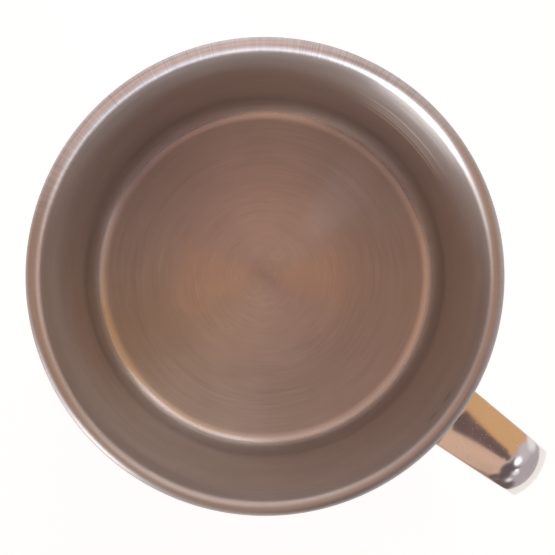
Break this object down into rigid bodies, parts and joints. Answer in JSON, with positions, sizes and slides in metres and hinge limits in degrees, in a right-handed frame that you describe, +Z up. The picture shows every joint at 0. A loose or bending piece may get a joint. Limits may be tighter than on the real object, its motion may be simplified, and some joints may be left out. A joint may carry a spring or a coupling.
{
  "type": "stainless steel mug",
  "caption": "Single-walled drawn steel mug with a rolled rim, a round inside corner and a crowned strap handle spot-welded to its wall.",
  "frame": {"origin": "centre of the flat base, on the cup's axis", "axes": "+Z up along the cup's axis, +X from the axis to the handle, so the XZ plane mirrors the mug"},
  "size_m": [0.1131, 0.09, 0.08],
  "materials": {
    "brushed_steel": "satin, turned in fine rings on the floor and round the wall",
    "polished_steel": "mirror polished",
    "weld_steel": "dull pressed face of a spot weld"
  },
  "bodies": {
    "root": {"cup_body": "brushed_steel", "handle_strap": "polished_steel", "upper_weld_left": "weld_steel", "upper_weld_right": "weld_steel", "lower_weld_left": "weld_steel", "lower_weld_right": "weld_steel"}
  },
  "joints": []
}
